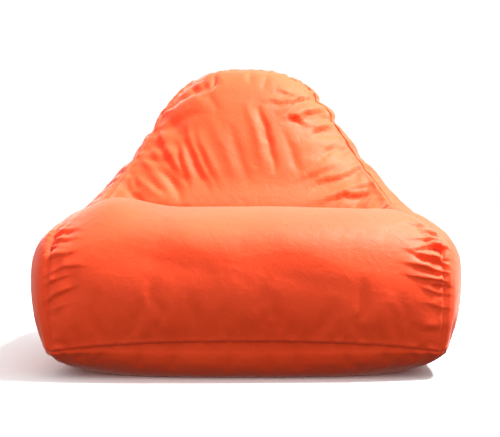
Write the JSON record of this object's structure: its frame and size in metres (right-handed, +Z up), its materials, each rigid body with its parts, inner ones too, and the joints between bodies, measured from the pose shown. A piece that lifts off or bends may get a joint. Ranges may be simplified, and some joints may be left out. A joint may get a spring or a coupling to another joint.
{
  "type": "bean bag chair",
  "caption": "Low bean bag lounge chair with a broad puffy seat roll, a tapered round-topped back and a zip across the rear",
  "frame": {"origin": "middle of the footprint, on the floor", "axes": "+Z up, -Y to the front, +X to the sitter's left"},
  "size_m": [0.9, 0.866, 0.6695],
  "materials": {
    "cover_cloth": "plain woven polyester, slight sheen",
    "sewing_thread": "matt twisted thread",
    "zip_tape": "matt woven tape",
    "zip_coil": "semi-matt",
    "liner_zip_tape": "matt woven tape",
    "liner_zip_coil": "semi-matt",
    "zip_metal": "satin",
    "liner_cloth": "matt",
    "bead_fill": "matt foam beads",
    "care_label": "blank satin"
  },
  "bodies": {
    "chair": {"front_seat_panel": "cover_cloth", "backrest_panel": "cover_cloth", "side_panel_left": "cover_cloth", "side_panel_right": "cover_cloth", "back_panel": "cover_cloth", "rear_apron_panel": "cover_cloth", "base_panel": "cover_cloth", "zip_garage": "cover_cloth", "base_thread": "sewing_thread", "seat_thread_left": "sewing_thread", "seat_thread_right": "sewing_thread", "backrest_thread_left": "sewing_thread", "backrest_thread_right": "sewing_thread", "rear_thread_left": "sewing_thread", "rear_thread_right": "sewing_thread", "crease_thread": "sewing_thread", "top_thread": "sewing_thread", "cover_zip_tape_upper": "zip_tape", "cover_zip_coil_upper": "zip_coil", "cover_zip_tape_lower": "zip_tape", "cover_zip_coil_lower": "zip_coil", "cover_zip_stop_open": "zip_metal", "cover_zip_stop_closed": "zip_metal", "liner_zip_tape_upper": "liner_zip_tape", "liner_zip_coil_upper": "liner_zip_coil", "liner_zip_tape_lower": "liner_zip_tape", "liner_zip_coil_lower": "liner_zip_coil", "liner_zip_stop_open": "zip_metal", "liner_zip_stop_closed": "zip_metal", "liner_bag": "liner_cloth", "bead_fill": "bead_fill", "care_label": "care_label"},
    "cover_slider": {"cover_zip_slider": "zip_metal"},
    "liner_slider": {"liner_zip_slider": "zip_metal"}
  },
  "joints": [
    {"name": "cover_zip_slide", "type": "slide", "parent": "chair", "child": "cover_slider", "axis": [-1, 0, 0], "range_m": [0, 0.42]},
    {"name": "liner_zip_slide", "type": "slide", "parent": "chair", "child": "liner_slider", "axis": [-1, 0, 0], "range_m": [0, 0.42]}
  ]
}
